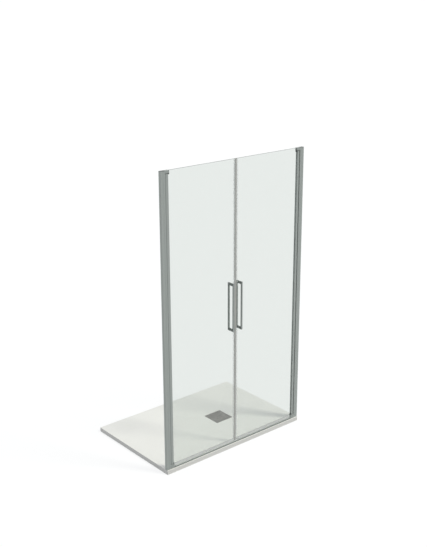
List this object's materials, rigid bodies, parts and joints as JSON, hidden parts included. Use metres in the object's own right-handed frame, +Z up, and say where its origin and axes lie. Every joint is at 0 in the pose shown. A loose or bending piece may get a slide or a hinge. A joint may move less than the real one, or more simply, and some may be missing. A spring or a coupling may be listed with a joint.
{
  "type": "shower enclosure",
  "caption": "Niche shower enclosure: low white tray with square drain, pivoting glass leaves with magnetic seals, slim profiles and square through-glass pull handles.",
  "frame": {"origin": "centre of the tray's underside, on the floor", "axes": "+X to the right seen from outside, +Y into the shower, +Z up"},
  "size_m": [1.2, 0.8135, 2.03],
  "materials": {
    "tray_gelcoat": "satin white gelcoat on cast mineral resin",
    "aluminium_profile": "satin anodised extrusion",
    "pivot_casting": "satin anodised block",
    "handle_metal": "satin chrome on square bar",
    "brushed_steel": "brushed folded sheet",
    "steel_fastener": "plain stainless",
    "clear_glass": "polished toughened float glass",
    "grey_seal": "satin co-extruded strip",
    "clear_seal": "translucent extruded strip",
    "clear_gasket": "soft extruded channel",
    "clear_washer": "moulded translucent washer",
    "magnet_rubber": "matt magnetic rubber strip",
    "black_rubber": "matt moulded rubber",
    "grey_plastic": "moulded, satin",
    "dark_plastic": "moulded glass-filled nylon",
    "bush_plastic": "moulded bearing plastic",
    "waste_plastic": "moulded, satin",
    "strainer_plastic": "moulded, satin"
  },
  "bodies": {
    "enclosure_frame": {"shower_tray": "tray_gelcoat", "waste_seal": "black_rubber", "waste_flange": "waste_plastic", "hair_strainer": "strainer_plastic", "threshold_rail": "aluminium_profile", "left_threshold_end": "grey_plastic", "left_wall_profile": "aluminium_profile", "left_jamb_profile": "aluminium_profile", "left_jamb_screws": "steel_fastener", "left_top_cap": "grey_plastic", "left_jamb_seal": "grey_seal", "left_top_pivot_block": "pivot_casting", "left_bottom_pivot_block": "pivot_casting", "left_block_screws": "steel_fastener", "left_pivot_pins": "steel_fastener", "left_thrust_washers": "bush_plastic", "right_threshold_end": "grey_plastic", "right_wall_profile": "aluminium_profile", "right_jamb_profile": "aluminium_profile", "right_jamb_screws": "steel_fastener", "right_top_cap": "grey_plastic", "right_jamb_seal": "grey_seal", "right_top_pivot_block": "pivot_casting", "right_bottom_pivot_block": "pivot_casting", "right_block_screws": "steel_fastener", "right_pivot_pins": "steel_fastener", "right_thrust_washers": "bush_plastic"},
    "left_leaf": {"left_glass_panel": "clear_glass", "left_hinge_stile": "aluminium_profile", "left_glazing_gasket": "clear_gasket", "left_top_end_plug": "dark_plastic", "left_bottom_end_plug": "grey_plastic", "left_pivot_bushes": "bush_plastic", "left_magnet_seal": "grey_seal", "left_magnet_strip": "magnet_rubber", "left_drip_seal": "clear_seal", "left_outer_handle": "handle_metal", "left_inner_handle": "handle_metal", "left_handle_studs": "steel_fastener", "left_handle_washers": "clear_washer", "left_handle_grub_screws": "steel_fastener"},
    "right_leaf": {"right_glass_panel": "clear_glass", "right_hinge_stile": "aluminium_profile", "right_glazing_gasket": "clear_gasket", "right_top_end_plug": "dark_plastic", "right_bottom_end_plug": "grey_plastic", "right_pivot_bushes": "bush_plastic", "right_magnet_seal": "grey_seal", "right_magnet_strip": "magnet_rubber", "right_drip_seal": "clear_seal", "right_outer_handle": "handle_metal", "right_inner_handle": "handle_metal", "right_handle_studs": "steel_fastener", "right_handle_washers": "clear_washer", "right_handle_grub_screws": "steel_fastener"},
    "drain_cover": {"drain_cover": "brushed_steel", "drain_cover_feet": "black_rubber"}
  },
  "joints": [
    {"name": "left_leaf_swing", "type": "hinge", "parent": "enclosure_frame", "child": "left_leaf", "pos_m": [-0.555, -0.3835, 1.03], "axis": [0, 0, 1], "range_deg": [-90, 90]},
    {"name": "right_leaf_swing", "type": "hinge", "parent": "enclosure_frame", "child": "right_leaf", "pos_m": [0.555, -0.3835, 1.03], "axis": [0, 0, -1], "range_deg": [-90, 90]},
    {"name": "drain_cover_lift", "type": "slide", "parent": "enclosure_frame", "child": "drain_cover", "axis": [0, 0, 1], "range_m": [0, 0.08]}
  ]
}
